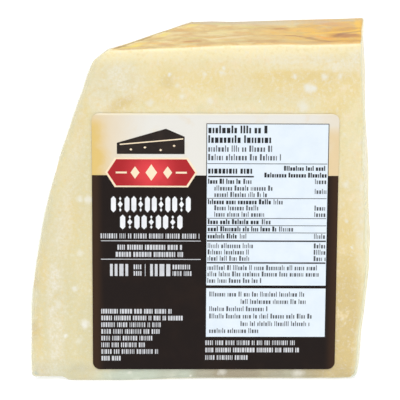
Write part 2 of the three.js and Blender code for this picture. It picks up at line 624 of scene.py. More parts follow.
@dataclass(frozen=True)
class PasteLooks:
    """What shows on the front cut face, patch by patch."""

    haze: tuple[StainAndShade, ...] = (
        StainAndShade(-26, 109, 10, 6.5, lean=35, strength=0.78),
        StainAndShade(-33, 104, 5, 10, strength=0.65),
        StainAndShade(-43, 80, 3.0, 18, lean=11, strength=0.4),
        StainAndShade(-47.5, 56, 3.4, 16, lean=8, strength=0.55),
        StainAndShade(-50.5, 28, 3.4, 26, strength=0.95),
        StainAndShade(-50.5, 6, 3.2, 8, strength=1.0),
        StainAndShade(-46, 66, 2.2, 6, strength=0.5),
        StainAndShade(-53, 4, 6, 5, strength=0.6),
        StainAndShade(33, 116, 20, 3.4, strength=0.65),
        StainAndShade(48, 114, 8, 3.0, strength=0.8),
        StainAndShade(12, 116, 8, 2.2, strength=0.4),
        StainAndShade(5, 114, 15, 4.5, strength=0.15),
        StainAndShade(53.5, 116.5, 4.5, 4.5, strength=0.85),
        StainAndShade(33, 103, 10, 4, strength=0.3),
        StainAndShade(13, 107, 6, 7, strength=0.3),
        StainAndShade(12, 97, 16, 5, strength=0.35),
        StainAndShade(55.5, 62, 1.8, 24, strength=0.6),
        StainAndShade(54, 80, 4, 14, strength=0.2),
    )
    warm: tuple[StainAndShade, ...] = (
        StainAndShade(4, 109, 26, 6, strength=0.65),
        StainAndShade(36, 107, 22, 6, strength=0.9),
        StainAndShade(34, 110, 21, 2.6, strength=1.0, soft=Span(1.2, 0.6)),
        StainAndShade(-14, 104, 12, 4, strength=0.7),
        StainAndShade(-27, 100, 8, 3, lean=-25, strength=0.9),
        StainAndShade(46, 101, 6, 9, strength=0.75),
        StainAndShade(51.5, 107, 5, 6.5, strength=0.85),
        StainAndShade(-45, 58, 4, 14, lean=8, strength=0.35),
        StainAndShade(50, 38, 5, 34, strength=1.0),
        StainAndShade(50, 8, 8, 8, strength=0.8),
        StainAndShade(-55, 42, 3, 10, strength=0.7),
        StainAndShade(-57, 18, 2.5, 12, strength=0.6),
        StainAndShade(-41, 92, 2.4, 12, lean=12, strength=0.5),
    )
    dull: tuple[StainAndShade, ...] = (
        StainAndShade(-50, 30, 16, 66, strength=0.85, soft=Span(1.0, 0.3)),
        StainAndShade(-40, 60, 10, 50, strength=0.7),
        StainAndShade(0, 0, 60, 10, strength=0.6),
        StainAndShade(24, 106, 22, 7, strength=0.35),
        StainAndShade(-40, 18, 6, 22, strength=1.0),
        StainAndShade(-29, 108, 12, 10, strength=0.6),
    )
    tan: tuple[StainAndShade, ...] = (
        StainAndShade(51, 18, 8, 34, strength=0.95),
        StainAndShade(51, 60, 6, 24, strength=0.2),
        # This band along the foot at the right is painted shadow under the label's edge, in the tan
        # colour.
        StainAndShade(46, 1.5, 14, 3.6, strength=0.9, soft=Span(1.2, 0.7)),
        StainAndShade(-58.5, 37, 2.6, 5, strength=0.8),
        StainAndShade(-58.5, 18.4, 2.6, 4, strength=0.8),
        StainAndShade(-11, 108, 3.0, 3.0, strength=0.4),
        StainAndShade(-27, 100.6, 6, 2.2, lean=-25, strength=0.5),
        StainAndShade(39, 109.8, 16, 2.6, strength=0.2),
    )
    # Painted shade along the foot, grey-green through the film where it rounds under; the last patch
    # paints the shade of a crumple in the film at the left end.
    grey: tuple[StainAndShade, ...] = (
        StainAndShade(-14, 1.5, 24, 4.8, strength=0.95, soft=Span(1.3, 0.6)),
        StainAndShade(12, 1.5, 14, 3.8, strength=0.7),
        StainAndShade(30, 1.5, 10, 3.6, strength=0.7),
        StainAndShade(-46, 3, 9, 5, strength=0.3),
        StainAndShade(-57.8, 2.6, 0.9, 0.6, lean=35, strength=1.0),
    )
    shade: tuple[StainAndShade, ...] = (
        StainAndShade(13, 2.4, 12, 4.6, strength=1.0, soft=Span(1.3, 0.5)),
        StainAndShade(25, 2.2, 9, 4.4, strength=0.75),
        StainAndShade(36, 2.4, 11, 4.4, strength=0.6),
        StainAndShade(47, 2.4, 8, 4.4, strength=0.25),
        StainAndShade(-11, 2.6, 5, 4.2, strength=0.22),
        StainAndShade(20, 4.6, 30, 1.5, strength=0.75),
        StainAndShade(2, 2.6, 6, 4.2, strength=0.75),
        StainAndShade(-42, 2.4, 6, 4.2, strength=0.2),
        StainAndShade(-56, 3, 4, 4, strength=0.16),
    )
    crystals: tuple[Crystal, ...] = tuple(Crystal(*row) for row in (
        (-10.2, 110.6, 0.7, 1.0), (1.7, 110.9, 0.9), (7.5, 111.2, 1.0), (8.3, 112.8, 0.7),
        (32.3, 110.2, 0.8), (42.5, 109.9, 1.1), (47.6, 109.9, 1.0), (37.0, 106.0, 1.5, 0.95),
        (38.4, 105.8, 1.3, 0.95), (35.2, 99.3, 1.8, 0.7), (-6.1, 102.9, 1.1, 0.7),
        (3.4, 101.5, 1.1, 0.6), (20.5, 101.1, 0.6, 1.0), (-17.0, 100.9, 1.2, 0.5),
        (-7.8, 107.0, 0.8, 0.5), (-43.6, 33.9, 1.1, 0.8), (-40.3, 20.9, 1.5, 1.0),
        (-47.0, 16.5, 0.7, 1.0), (-49.5, 28.0, 1.2, 0.6), (-41.4, 66.6, 1.1, 0.8),
        (-38.6, 66.2, 1.2, 0.8), (-41.6, 47.0, 1.1, 0.6), (-42.4, 14.6, 1.1, 0.5),
        (50.2, 71.6, 1.1, 0.6), (56.1, 71.6, 1.0, 0.6), (50.6, 58.5, 0.6, 0.8),
        (52.7, 49.0, 0.4, 1.0), (55.0, 86.5, 0.9, 0.5), (34.1, 2.6, 1.5, 0.62),
        (35.3, 2.6, 1.3, 0.58), (7.8, 3.1, 1.3, 0.62), (-3.4, 1.8, 0.5, 1.0),
        (-25.0, 2.9, 0.7, 0.5),
    ))
    cream_line: Span = Span(-6.6, -0.7)
    facing_front: Span = Span(0.3, 0.8)
    facing_right: Span = Span(0.1, 0.75)
    facing_up: Span = Span(0.62, 0.86)
    trimmed_off: Span = Span(-0.9, -0.4)
    # Painted shade on the faces beside the front, just above the foot.
    foot_shade_aside: float = 0.7
    foot_shade_aside_up: Span = Span(6.0, 1.5)

    def masks(self, shape: PieceShape, skin: Skin) -> dict[str, np.ndarray]:
        """The numbers that the mesh carries for its material.

        Args:
            shape: the piece's outline.
            skin: the surface that they lie on.

        Returns:
            One list of numbers for each mask, by name.
        """
        x, _, z = skin.points.T
        front = self.facing_front.share(-skin.facing[:, 1])
        up = self.facing_up.share(skin.facing[:, 2])
        trimmed = self.trimmed_off.share(shape.outside_trim(skin.points))
        top = shape.height + shape.rind_slope * (x - shape.right_side(shape.height))
        patches = {"haze": self.haze, "warm": self.warm, "dull": self.dull, "tan": self.tan,
                   "grey": self.grey, "shade": self.shade}
        masks = {name: front * self.strongest(stains, skin.points)
                 for name, stains in patches.items()}
        # Painted shade round the foot on the other faces, joined to the front's.
        shade_round_foot = self.foot_shade_aside * (1 - front) * self.foot_shade_aside_up.share(z)
        masks["grey"] = np.maximum(masks["grey"], shade_round_foot) * (1 - up)
        masks["cream"] = (1 - up) * self.cream_line.share(z - top)
        # Painted light: the faces turned to the right are made paler.
        masks["pale"] = self.facing_right.share(skin.facing[:, 0])
        masks["rind"] = up * (1 - trimmed)
        masks["front"] = front
        return masks

    @staticmethod
    def strongest(stains: Sequence[StainAndShade], points: np.ndarray) -> np.ndarray:
        """The strongest of several patches at each point."""
        return np.max([stain.on(points) for stain in stains], axis=0)


class Shade(Enum):
    """The colours of the marks along the rind."""

    BROWN = paint(146, 92, 42)
    RUST = paint(170, 102, 32)
    ORANGE = paint(232, 152, 44)
    GOLD = paint(244, 193, 44)
    YELLOW = paint(230, 206, 88)
    PINK = paint(207, 158, 114)
    PALE = paint(240, 226, 184)
    OLIVE = paint(158, 128, 66)
    LEAF = paint(206, 202, 112)
    ASH = paint(205, 193, 164)
    SAND = paint(206, 172, 108)
    AMBER = paint(230, 178, 56)


@dataclass(frozen=True)
class RindMark:
    """A streak along the rind, from one place to another, as x and y on its top."""

    start: Point2
    end: Point2
    width: float
    shade: Shade
    strength: float = 0.9


@dataclass(frozen=True)
class RindLooks:
    """The streaks that show along the rind."""

    marks: tuple[RindMark, ...] = (
        RindMark((8, 6.4), (30, 4.0), 5.0, Shade.RUST, 0.25),
        RindMark((-3, 18.0), (14, 18.5), 4.0, Shade.PALE, 0.22),
        RindMark((-16, 21.0), (-7, 23.5), 6.0, Shade.PALE, 0.35),
        RindMark((11, 13.0), (27, 14.5), 5.0, Shade.SAND, 0.45),
        RindMark((14, 10.0), (26, 10.4), 4.0, Shade.SAND, 0.55),
        RindMark((22, 33.0), (56, 35.0), 7.0, Shade.ASH, 0.35),
        RindMark((0, 35.6), (32, 33.8), 5.5, Shade.ASH, 0.55),
        RindMark((3, 11.0), (16, 12.0), 2.6, Shade.PALE, 0.4),
        RindMark((15, 28.0), (35, 25.5), 4.0, Shade.YELLOW, 0.35),
        RindMark((4, 34.0), (9, 33.6), 3.0, Shade.LEAF, 0.6),
        RindMark((-3, 13.0), (0, 13.5), 3.0, Shade.LEAF, 0.6),
        RindMark((-28, 3.2), (-20, 9.8), 3.0, Shade.YELLOW, 0.9),
        RindMark((-14, 19.5), (-11, 23.4), 3.0, Shade.YELLOW, 0.8),
        RindMark((-5, 32.0), (0, 33.2), 3.4, Shade.YELLOW, 0.7),
        RindMark((-22, 2.4), (-18, 2.7), 2.2, Shade.PINK, 0.7),
        RindMark((-14, 7.5), (-10, 9.5), 2.4, Shade.PINK, 0.45),
        RindMark((-30.6, 2.1), (-25.5, 9.3), 1.4, Shade.OLIVE, 0.8),
        RindMark((-25.5, 9.3), (-17.9, 18.5), 1.3, Shade.OLIVE, 0.7),
        RindMark((-17.9, 18.5), (-3.8, 38.0), 1.2, Shade.OLIVE, 0.45),
        RindMark((-29, 0.6), (-14, 1.2), 1.4, Shade.OLIVE, 0.5),
        RindMark((-6, 9.5), (2, 9.2), 1.8, Shade.RUST, 0.5),
        RindMark((25, 23.4), (30, 22.1), 2.4, Shade.RUST, 0.6),
        RindMark((41, 34.1), (52, 26.2), 7.0, Shade.PINK, 0.6),
        RindMark((42, 30.8), (45.4, 20.8), 1.8, Shade.PALE, 0.12),
        RindMark((30, 2.0), (57, 1.2), 3.2, Shade.SAND, 0.6),
        RindMark((36, 15.6), (56, 17.9), 5.0, Shade.GOLD, 0.85),
        RindMark((55.5, 34.0), (55.5, 7.0), 3.4, Shade.GOLD, 0.75),
        RindMark((46, 4.2), (55, 2.8), 4.0, Shade.GOLD, 0.75),
        RindMark((40, 10.3), (47, 8.1), 3.0, Shade.ORANGE, 0.6),
        RindMark((31, 4.6), (41, 2.8), 5.0, Shade.SAND, 0.7),
        RindMark((40, 3.6), (53, 4.6), 4.0, Shade.RUST, 0.45),
        RindMark((47, 8.0), (57, 8.0), 6.0, Shade.AMBER, 0.55),
        RindMark((45, 12.0), (55, 10.5), 5.0, Shade.RUST, 0.85),
        RindMark((44, 20.5), (56, 22.5), 4.0, Shade.RUST, 0.35),
        RindMark((50, 2.0), (57, 4.0), 2.6, Shade.RUST, 0.5),
        RindMark((28, 14.8), (36, 10.5), 2.2, Shade.RUST, 0.6),
        RindMark((36, 10.5), (44, 4.2), 2.2, Shade.BROWN, 0.5),
        RindMark((45.5, 10.5), (50, 13.9), 2.2, Shade.BROWN, 0.6),
        RindMark((50, 13.9), (56.5, 17.8), 2.2, Shade.BROWN, 0.5),
    )


@dataclass(frozen=True)
class CheeseFinish:
    """Paste with haze, warm patches and crystals, and a mottled rind, under glossy film."""

    paste: Colour = paint(235, 221, 174)
    straw: Colour = paint(227, 216, 164)
    blush: Colour = paint(240, 220, 182)
    warm: Colour = paint(231, 206, 134)
    dull: Colour = paint(218, 208, 164)
    tan: Colour = paint(212, 187, 121)
    haze: Colour = paint(237, 231, 218)
    cream: Colour = paint(252, 238, 190)
    # Painted shade along the foot, grey-green through the film.
    grey: Colour = paint(186, 198, 184)
    # Painted highlights of the film's small folds along the foot.
    film_fold_glint: Colour = paint(212, 221, 208)
    shade: Colour = paint(160, 147, 119)
    # Painted light on the faces turned to the right.
    pale: Colour = paint(238, 231, 190)
    crystal: Colour = paint(236, 233, 222)
    crystal_rim: float = 1.7
    crystal_core: float = 0.2
    rind_base: Colour = paint(216, 186, 118)
    rind_straw: Colour = paint(229, 211, 147)
    rind_gold: Colour = paint(226, 178, 66)
    rind_amber: Colour = paint(228, 174, 40)
    rind_tan: Colour = paint(206, 166, 100)
    rind_green: Colour = paint(206, 196, 120)
    rind_grey: Colour = paint(192, 174, 148)

    def material(self, placing: Placing, paste: PasteLooks,
                 rind: RindLooks) -> bpy.types.Material:
        """Builds the material.

        Args:
            placing: where the drawing frame lies, for the places of crystals and streaks.
            paste: what shows on the front cut face.
            rind: what shows on the rind.

        Returns:
            The material.
        """
        recipe = Recipe("cheese")
        grain = recipe.noise(1.3, detail=4, rough=0.65)
        colour = self.paste_colour(recipe, grain)
        colour = recipe.mix(self.crystals(recipe, placing, paste), colour, self.crystal)
        mottle = recipe.noise(4.6, detail=6, rough=0.62, warp=0.5)
        on_rind = recipe.mask("rind")
        colour = recipe.mix(on_rind, colour, self.rind_colour(recipe, mottle, placing, rind))
        height = recipe.node("ShaderNodeMix", {0: on_rind, 2: grain, 3: mottle}).outputs[0]
        recipe.set(Base_Color=colour, Roughness=0.5, Subsurface_Weight=0.03,
                   Subsurface_Radius=(1.0, 0.9, 0.7), Subsurface_Scale=1.0 * MM,
                   Specular_IOR_Level=0.25, Coat_Weight=0.14, Coat_Roughness=0.14,
                   Normal=recipe.bump(height, 0.2))
        return recipe.material

    def paste_colour(self, recipe: Recipe, grain: bpy.types.NodeSocket) -> bpy.types.NodeSocket:
        """The colour of the cut faces, with painted shade along the foot and painted light on the
        faces turned to the right.

        Args:
            recipe: the material's tree.
            grain: the fine grain that its bump shares.

        Returns:
            The colour.
        """
        broad = recipe.noise(15, detail=4, rough=0.6, warp=0.6)
        cloud = recipe.noise(4.2, detail=5, rough=0.65)
        aside = recipe.maths("SUBTRACT", 1.0, recipe.mask("front"))
        colour = recipe.mix(recipe.ramp(cloud, 0.5, 0.68, 0.7), self.paste, self.straw)
        colour = recipe.mix(recipe.ramp(cloud, 0.48, 0.32, 0.7), colour, self.blush)
        colour = recipe.mix(recipe.mask("dull"), colour, self.dull)
        colour = recipe.mix(recipe.ramp(broad, 0.48, 0.75, 0.3), colour, self.warm)
        warm = recipe.times(recipe.mask("warm"), recipe.ramp(cloud, 0.2, 0.6))
        colour = recipe.mix(recipe.times(warm, 0.85), colour, self.warm)
        tan = recipe.times(recipe.mask("tan"), recipe.ramp(cloud, 0.25, 0.5))
        colour = recipe.mix(tan, colour, self.tan)
        # Painted light on the faces turned to the right.
        colour = recipe.mix(recipe.times(recipe.mask("pale"), 0.6), colour, self.pale)
        elsewhere = recipe.times(aside, recipe.ramp(recipe.noise(22, 3), 0.48, 0.62))
        haze = recipe.maths("MAXIMUM", recipe.mask("haze"), elsewhere)
        ragged = recipe.times(haze, recipe.ramp(cloud, 0.32, 0.56))
        speckle = recipe.ramp(recipe.noise(0.8, detail=3, rough=0.75), 0.42, 0.6, 0.6)
        speckled = recipe.times(ragged, recipe.maths("ADD", 0.34, speckle))
        colour = recipe.mix(speckled, colour, self.haze)
        colour = recipe.mix(recipe.times(recipe.mask("cream"), 0.85), colour, self.cream)
        colour = recipe.mix(recipe.ramp(grain, 0.5, 0.7, 0.4), colour, self.haze)
        colour = recipe.mix(recipe.ramp(grain, 0.5, 0.3, 0.4), colour, self.warm)
        # The foot strip: painted shade, streaked with painted highlights of the film's folds.
        curtain = recipe.noise(1.0, 2, place=recipe.stretched((4.5, 6, 5)))
        foot_shade_and_glint = recipe.mix(recipe.ramp(curtain, 0.48, 0.68, 0.8), self.grey, self.film_fold_glint)
        colour = recipe.mix(recipe.times(recipe.mask("grey"), 0.9), colour, foot_shade_and_glint)
        return recipe.mix(recipe.mask("shade"), colour, self.shade)

    def crystals(self, recipe: Recipe, placing: Placing,
                 looks: PasteLooks) -> bpy.types.NodeSocket:
        """Where crystals show: those named on the front, and a scatter on the other faces.

        Args:
            recipe: the material's tree.
            placing: where the drawing frame lies.
            looks: the crystals on the front cut face.

        Returns:
            Their share of the colour.
        """
        place = self.wandering(recipe, 1.7, 1.9)
        large = recipe.ramp(recipe.scatter(place, 10), 0.17, 0.06, 0.9)
        specks = recipe.ramp(recipe.scatter(place, 5), 0.14, 0.04, 0.22)
        aside = recipe.maths("SUBTRACT", 1.0, recipe.mask("front"))
        share = recipe.maths("MAXIMUM", recipe.times(large, aside), specks)
        for crystal in looks.crystals:
            away = self.distance(recipe, place, placing, (crystal.x, 0.0, crystal.z))
            radius = crystal.radius * MM
            spot = recipe.ramp(away, radius * self.crystal_rim, radius * self.crystal_core,
                               crystal.strength)
            share = recipe.maths("MAXIMUM", share, spot)
        return share

    @staticmethod
    def wandering(recipe: Recipe, size: float, reach: float) -> bpy.types.NodeSocket:
        """The place on the piece, shifted about so that round spots turn ragged.

        Args:
            recipe: the material's tree.
            size: the size of the raggedness, in millimetres.
            reach: the range of the shift, in millimetres.

        Returns:
            The shifted place.
        """
        inputs = {"Vector": recipe.place, "Scale": 1 / (size * MM), "Detail": 3.0}
        noise = recipe.node("ShaderNodeTexNoise", inputs)
        centred = recipe.vector("SUBTRACT", noise.outputs["Color"], (0.5,) * 3)
        shift = recipe.vector("MULTIPLY", centred, (reach * MM,) * 3)
        return recipe.vector("ADD", recipe.place, shift)

    @staticmethod
    def distance(recipe: Recipe, place: bpy.types.NodeSocket, placing: Placing,
                 point: Sequence[float]) -> bpy.types.NodeSocket:
        """How far a place is from a point of the drawing frame, in metres."""
        return recipe.vector("DISTANCE", place, placing.metres(np.array(point)).tolist())

    def rind_colour(self, recipe: Recipe, mottle: bpy.types.NodeSocket, placing: Placing,
                    looks: RindLooks) -> bpy.types.NodeSocket:
        """The colour of the rind.

        Args:
            recipe: the material's tree.
            mottle: the blotches that its bump shares.
            placing: where the drawing frame lies.
            looks: the streaks on the rind.

        Returns:
            The colour.
        """
        clouds = recipe.noise(1.0, 4, 0.6, place=recipe.stretched((9, 5, 6)))
        fibres = recipe.noise(1.0, 5, 0.65, place=recipe.stretched((10, 1.6, 6), (0, 0, 8)))
        colour = recipe.mix(recipe.ramp(mottle, 0.4, 0.6), self.rind_tan, self.rind_base)
        colour = recipe.mix(recipe.ramp(clouds, 0.48, 0.62, 0.8), colour, self.rind_straw)
        colour = recipe.mix(recipe.ramp(fibres, 0.52, 0.66, 0.7), colour, self.rind_green)
        colour = recipe.mix(recipe.ramp(fibres, 0.46, 0.34, 0.75), colour, self.rind_gold)
        hairs = recipe.noise(1.0, 3, 0.6, place=recipe.stretched((9, 0.8, 6), (0, 0, 14)))
        colour = recipe.mix(recipe.ramp(hairs, 0.56, 0.68, 0.55), colour, self.rind_tan)
        to_back = recipe.ramp(recipe.axis(1), 8 * MM, 18 * MM)
        colour = recipe.mix(recipe.times(to_back, 0.6), colour, self.rind_grey)
        to_right = recipe.ramp(recipe.axis(0), 14 * MM, 44 * MM, 0.85)
        colour = recipe.mix(recipe.times(to_right, recipe.ramp(mottle, 0.35, 0.6)),
                            colour, self.rind_amber)
        place = self.wandering(recipe, 3.6, 3.0)
        for mark in looks.marks:
            share = self.streak(recipe, place, placing, mark)
            colour = recipe.mix(share, colour, mark.shade.value)
        return colour

    @staticmethod
    def streak(recipe: Recipe, place: bpy.types.NodeSocket, placing: Placing,
               mark: RindMark) -> bpy.types.NodeSocket:
        """How strong one streak is: full along its line, and gone at its width.

        Args:
            recipe: the material's tree.
            place: the place on the rind.
            placing: where the drawing frame lies.
            mark: the streak.

        Returns:
            Its share of the colour.
        """
        ends = placing.metres(np.array([[*mark.start, 0.0], [*mark.end, 0.0]]))
        run = ends[1, :2] - ends[0, :2]
        length = float(np.hypot(*run))
        along_x, along_y = (run / length).tolist()
        from_start = recipe.vector("SUBTRACT", place, ends[0].tolist())
        along = recipe.vector("DOT_PRODUCT", from_start, (along_x, along_y, 0.0))
        aside = recipe.vector("DOT_PRODUCT", from_start, (-along_y, along_x, 0.0))
        half = mark.width / 2 * MM
        across = recipe.ramp(recipe.maths("ABSOLUTE", aside, 0.0), half * 1.3, half * 0.3)
        comes_in = recipe.ramp(along, -2 * half, 2 * half)
        goes_out = recipe.ramp(along, length + 2 * half, length - 2 * half, mark.strength)
        return recipe.times(across, recipe.times(comes_in, goes_out))


@dataclass
class CheeseBlock:
    """The cheese itself: paste on its cut faces and rind on top."""

    shape: PieceShape
    placing: Placing
    cells: tuple[int, int, int] = (150, 52, 156)
    edge_steps: int = 6
    inset: float = 0.22
    wider_edges: float = 0.5
    paste: PasteLooks = field(default_factory=PasteLooks)
    rind: RindLooks = field(default_factory=RindLooks)
    finish: CheeseFinish = CheeseFinish()

    def build(self) -> bpy.types.Object:
        """Builds the block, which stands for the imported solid."""
        skin = self.shape.skin(self.cells, self.edge_steps, self.inset, self.wider_edges)
        piece = add_piece("cheese_block", skin.points, skin.quads, self.placing, Slot.PIECE, True)
        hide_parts("sealed_cheese")
        self.dress(piece, skin)
        return piece

    def dress(self, piece: bpy.types.Object, skin: Skin) -> None:
        """Gives the block its masks and its material."""
        for name, values in self.paste.masks(self.shape, skin).items():
            carry(piece, name, values)
        piece.data.materials.append(self.finish.material(self.placing, self.paste, self.rind))


@dataclass(frozen=True)
class FilmFinish:
    """Clear shrink film, faintly grey-green where it turns an edge: its own tint there, lightened as
    painted reflection.
    """

    clear: Colour = paint(232, 234, 224)
    # Painted reflection where the film turns an edge, made light enough to lift the shade on the
    # left edge.
    edge: Colour = paint(242, 247, 230)
    alpha: float = 0.1
    edge_alpha: float = 0.4
    roughness: float = 0.14

    def material(self) -> bpy.types.Material:
        """Builds the material."""
        recipe = Recipe("shrink_film")
        ripples = recipe.noise(7, detail=3, rough=0.5, warp=0.5)
        turning = recipe.times(recipe.mask("turn"), recipe.ramp(ripples, 0.2, 0.55))
        tone = recipe.mix(turning, self.clear, self.edge)
        cover = recipe.maths("MULTIPLY_ADD", turning, self.edge_alpha)
        cover.node.inputs[2].default_value = self.alpha
        recipe.set(Base_Color=tone, Roughness=self.roughness, Alpha=cover,
                   Specular_IOR_Level=0.6, Normal=recipe.bump(ripples, 0.25))
        return recipe.material


@dataclass
class FilmSkin:
    """The shrink film, tight on the faces, standing off a little at edges and corners."""

    shape: PieceShape
    placing: Placing
    cells: tuple[int, int, int] = (146, 54, 150)
    edge_steps: int = 6
    pleat_depth: float = 0.3
    pleat_reach: float = 4.05
    pleat_start: float = 1.2
    pleat_sharpness: float = 1.5
    pleat_sway: float = 0.6
    pleat_shift: float = 1.7
    pleats_round: int = 11
    above_foot: Span = Span(0.0, 1.0)
    onto_label: Span = Span(-3.0, 0.0)
    edges: Span = Span(0.08, 0.25)
    bent: Span = Span(0.1, 0.35)
    # The trimmed corner's film line: its tint with painted reflection.
    trim_tint_and_sheen: float = 0.35
    trim_reach: Span = Span(-1.0, -0.2)
    # Painted light along the left side, from the front round the left edge, lifting that edge's
    # shade.
    left_veil_light: float = 0.9
    veil_light_reach: Span = Span(5.0, 0.0)
    veil_light_faces: Span = Span(-0.2, 0.15)
    finish: FilmFinish = FilmFinish()

    def build(self) -> bpy.types.Object:
        """Builds the film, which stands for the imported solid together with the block."""
        skin = self.shape.skin(self.cells, self.edge_steps)
        points = skin.points + skin.facing * self.pleats(skin)[:, None]
        piece = add_piece("shrink_film", points, skin.quads, self.placing, Slot.PIECE, True)
        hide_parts("sealed_cheese")
        carry(piece, "turn", self.turning(skin))
        piece.data.materials.append(self.finish.material())
        return piece

    def turning(self, skin: Skin) -> np.ndarray:
        """How much the film shows its tint and painted reflection: along edges, but not on the one
        before the rind, and at the left side, where this also lifts the left edge's shade.

        Args:
            skin: the film's plain surface.

        Returns:
            A share for each point.
        """
        across, _, up = np.abs(skin.facing).T
        rounding = self.edges.share(1 - np.abs(skin.facing).max(axis=1))
        before_rind = (1 - self.bent.share(across)) * self.bent.share(up)
        trimmed = self.trim_tint_and_sheen * self.trim_reach.share(self.shape.outside_trim(skin.points))
        from_left = skin.points[:, 0] - self.shape.left_side(skin.points[:, 2])
        veil_light = self.left_veil_light * self.veil_light_reach.share(from_left)
        veil_light *= self.veil_light_faces.share(-skin.facing[:, 1])
        return np.maximum.reduce([rounding * (1 - before_rind), trimmed, veil_light])

    def corners(self, skin: Skin) -> Iterator[np.ndarray]:
        """The points nearest to the block's eight corners."""
        for side in (-1, 1):
            for depth in (-1, 1):
                for end in (-1, 1):
                    corner = np.array([side, depth, end]) / math.sqrt(3)
                    yield skin.points[np.argmax(skin.facing @ corner)]

    def pleats(self, skin: Skin) -> np.ndarray:
        """Small folds that fan out from each corner, where the film has shrunk round it.

        Args:
            skin: the film's plain surface.

        Returns:
            How far each point stands out.
        """
        raised = np.zeros(len(skin.points))
        for number, corner in enumerate(self.corners(skin)):
            away = skin.points - corner
            distance = np.linalg.norm(away, axis=1)
            unit = away / np.maximum(distance, 0.1)[:, None]
            turn = np.arctan2(unit[:, 2], unit[:, 0] + unit[:, 1])
            sway = self.pleat_sway * np.sin(3 * turn)
            fan = np.sin(self.pleats_round * turn + self.pleat_shift * number + sway)
            fade = np.exp(-distance / self.pleat_reach)
            fade *= 1 - np.exp(-distance / self.pleat_start)
            raised += self.pleat_depth * np.maximum(0, fan) ** self.pleat_sharpness * fade
        x, _, z = skin.points.T
        off_label = 1 - self.onto_label.share(self.shape.in_from_label_edge(x, z))
        off_label = np.where(skin.facing[:, 1] < -0.5, off_label, 1.0)
        return raised * self.above_foot.share(z) * off_label


class Outline:
    """Flat outlines on the label: u to the right and v down from its top left corner."""

    @staticmethod
    def box(left: float, top: float, right: float, bottom: float) -> list[Point2]:
        """A rectangle."""
        return [(left, top), (right, top), (right, bottom), (left, bottom)]

    @staticmethod
    def rounded(left: float, top: float, right: float, bottom: float,
                radii: Box, steps: int = 8) -> list[Point2]:
        """A rectangle with round corners.

        Args:
            left: its left side.
            top: its top.
            right: its right side.
            bottom: its bottom.
            radii: the corners' radii, clockwise from the top left.
            steps: how many straight stretches each corner has.

        Returns:
            The points round it, clockwise as seen.
        """
        signs = ((1, 1, 180), (-1, 1, 270), (-1, -1, 0), (1, -1, 90))
        corners = ((left, top), (right, top), (right, bottom), (left, bottom))
        points = []
        for (u, v), (to_right, down, start), radius in zip(corners, signs, radii):
            if radius == 0:
                points.append((u, v))
                continue
            for step in range(steps + 1):
                angle = math.radians(start + 90 * step / steps)
                points.append((u + radius * (to_right + math.cos(angle)),
                               v + radius * (down + math.sin(angle))))
        return points

    @staticmethod
    def lozenge(u: float, v: float, half_width: float, half_height: float) -> list[Point2]:
        """A diamond round a centre."""
        return [(u - half_width, v), (u, v - half_height), (u + half_width, v), (u, v + half_height)]

    @staticmethod
    def ribbon(left: float, top: float, right: float, bottom: float, point: float) -> list[Point2]:
        """A plaque whose two ends come to a blunt point."""
        middle = (top + bottom) / 2
        return [(left + point, top), (right - point, top), (right, middle),
                (right - point, bottom), (left + point, bottom), (left, middle)]


@dataclass
class LabelFrame:
    """Carries places on the label into the drawing frame."""

    shape: PieceShape
    placing: Placing
    turn: float = 0.2
    reach_left: Point2 = (0.06, 0.36)
    reach_right: float = 0.07
    drop: float = 0.25
    drops_down: Span = Span(4.0, 30.0)
    slope: float = 0.3
    slopes_down: Span = Span(60.0, 92.0)

    def pulled(self, u: np.ndarray, v: np.ndarray) -> tuple[np.ndarray, np.ndarray]:
        """Where places on the flat print lie once the tight film has pulled the label.

        Args:
            u: how far each is from the flat label's left side.
            v: how far each is down from its top.

        Returns:
            The same two distances on the pulled label.
        """
        width, height = self.shape.label_size
        across = u / width
        left = blend(self.reach_left[0], self.reach_left[1], v / height)
        pulled_u = u + blend(-left, self.reach_right, across)
        pulled_v = v + self.drop * self.drops_down.share(v)
        return pulled_u, pulled_v + self.slope * (0.5 - across) * self.slopes_down.share(v)

    def points(self, outline: Sequence[Point2], out: float) -> np.ndarray:
        """Places on the label as points that stand out from the film by so much.

        Args:
            outline: places from the label's top left corner.
            out: how far they stand out from the film.

        Returns:
            The points in the drawing frame.
        """
        width, height = self.shape.label_size
        turn = math.radians(self.turn)
        u, v = self.pulled(*np.array(outline).T)
        across, up = u - width / 2, height / 2 - v
        x = self.shape.label_centre[0] + across * math.cos(turn) + up * math.sin(turn)
        z = self.shape.label_centre[1] + up * math.cos(turn) - across * math.sin(turn)
        return np.column_stack([x, np.full(len(x), -out), z])

    def print(self, name: str, outlines: Sequence[Sequence[Point2]], base: Layer,
              front: Layer, material: bpy.types.Material) -> bpy.types.Object:
        """Makes one piece of flat printed shapes.

        Args:
            name: the piece's name.
            outlines: the shapes, clockwise as seen.
            base: the layer that they start from.
            front: the layer that they reach.
            material: their finish.

        Returns:
            The piece.
        """
        points, faces = [], []
        for outline in outlines:
            count, start = len(outline), sum(len(p) for p in points)
            points += [self.points(outline, front.value), self.points(outline, base.value)]
            ahead = list(range(start, start + count))
            behind = [i + count for i in ahead]
            faces += [ahead[::-1], behind]
            for i in range(count):
                j = (i + 1) % count
                faces.append([ahead[i], ahead[j], behind[j], behind[i]])
        piece = add_piece(name, np.concatenate(points), faces, self.placing, Slot.LABEL, False)
        piece.data.materials.append(material)
        return piece


@dataclass(frozen=True)
class Ink:
    """A printed colour: flat to the eye, with the faint unevenness of ink on a satin label."""

    name: str
    colour: Colour
    second: Colour
    blotch: float = 6.0
    roughness: float = 0.42
    gloss: float = 0.15

    def material(self) -> bpy.types.Material:
        """Builds the material."""
        recipe = Recipe(self.name)
        cloud = recipe.noise(self.blotch, detail=4, rough=0.6)
        colour = recipe.mix(recipe.ramp(cloud, 0.35, 0.7), self.colour, self.second)
        recipe.set(Base_Color=colour, Roughness=self.roughness, Specular_IOR_Level=self.gloss,
                   Normal=recipe.tooth())
        return recipe.material


